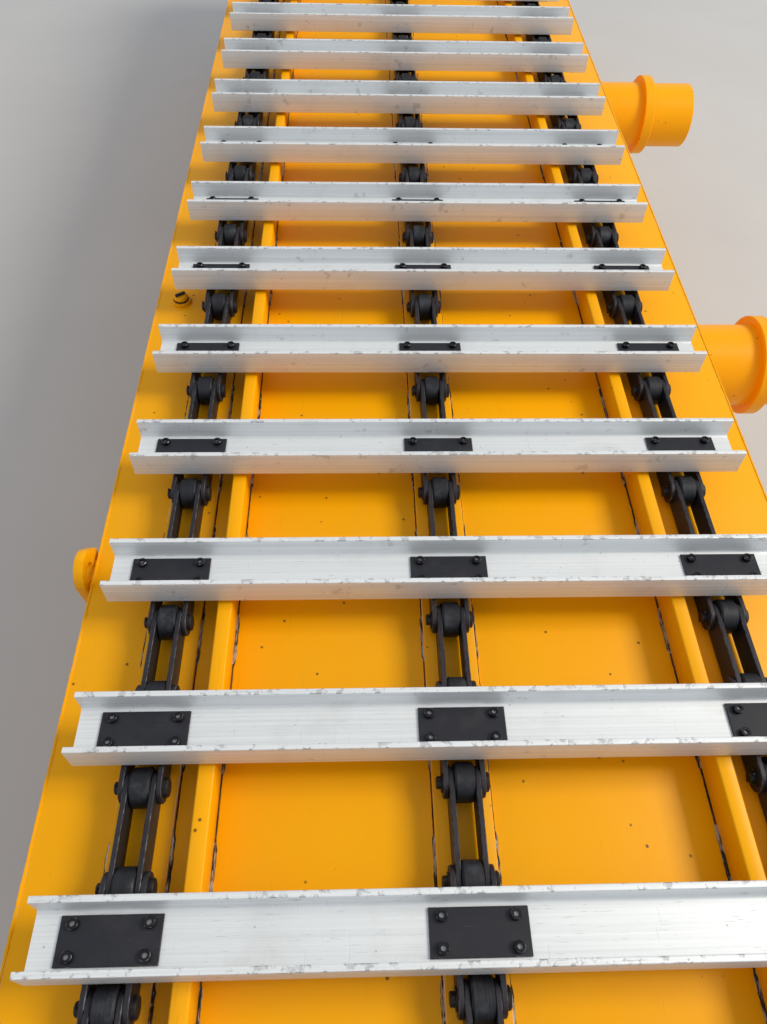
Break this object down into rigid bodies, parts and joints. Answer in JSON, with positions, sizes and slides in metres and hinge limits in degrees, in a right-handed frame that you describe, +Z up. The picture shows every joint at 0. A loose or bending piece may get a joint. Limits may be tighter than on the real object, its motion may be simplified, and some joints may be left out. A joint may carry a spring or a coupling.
{
  "type": "tracked pontoon of an amphibious excavator",
  "caption": "Sealed steel pontoon with roller chain strands and channel cleats running round it, end sprockets and idlers, cross tubes with stop collars, and lifting lugs",
  "frame": {"origin": "on the floor, in the middle of the overall length and width; the hull's own middle is 0.4225 m towards -X", "axes": "+X across the pontoon towards the cross tubes and the machine's middle, +Y along it from the drive sprockets to the idlers, +Z up"},
  "size_m": [2.779, 9.7444, 1.824],
  "materials": {
    "hull_paint": "gloss amber yellow enamel over welded steel",
    "cleat_aluminium": "mill finish with drawn lines and scuffs",
    "chain_steel": "blackened heat-treated steel",
    "wheel_steel": "dark cast steel with polished running faces",
    "bare_steel": "machined steel, lightly greased",
    "drive_paint": "semi-gloss dark grey"
  },
  "bodies": {
    "root": {"hull_core": "hull_paint", "deck_plate": "hull_paint", "tube_pads": "hull_paint", "side_covers": "hull_paint", "rail_left": "hull_paint", "rail_right": "hull_paint", "side_plate_outer": "hull_paint", "side_plate_inner": "hull_paint", "lifting_lugs": "hull_paint", "cross_ties": "hull_paint", "cross_tubes": "hull_paint", "tube_collars": "hull_paint", "wear_bar_left": "hull_paint", "wear_bar_centre": "hull_paint", "wear_bar_right": "hull_paint", "chain_left": "chain_steel", "chain_centre": "chain_steel", "chain_right": "chain_steel", "sprockets": "wheel_steel", "idlers": "wheel_steel", "outer_bearing": "wheel_steel", "drive_shaft": "bare_steel", "idler_shaft": "bare_steel", "slide_blocks": "bare_steel", "tensioners": "bare_steel", "gearbox": "drive_paint", "drive_motor": "drive_paint", "cleats": "cleat_aluminium"}
  },
  "joints": []
}
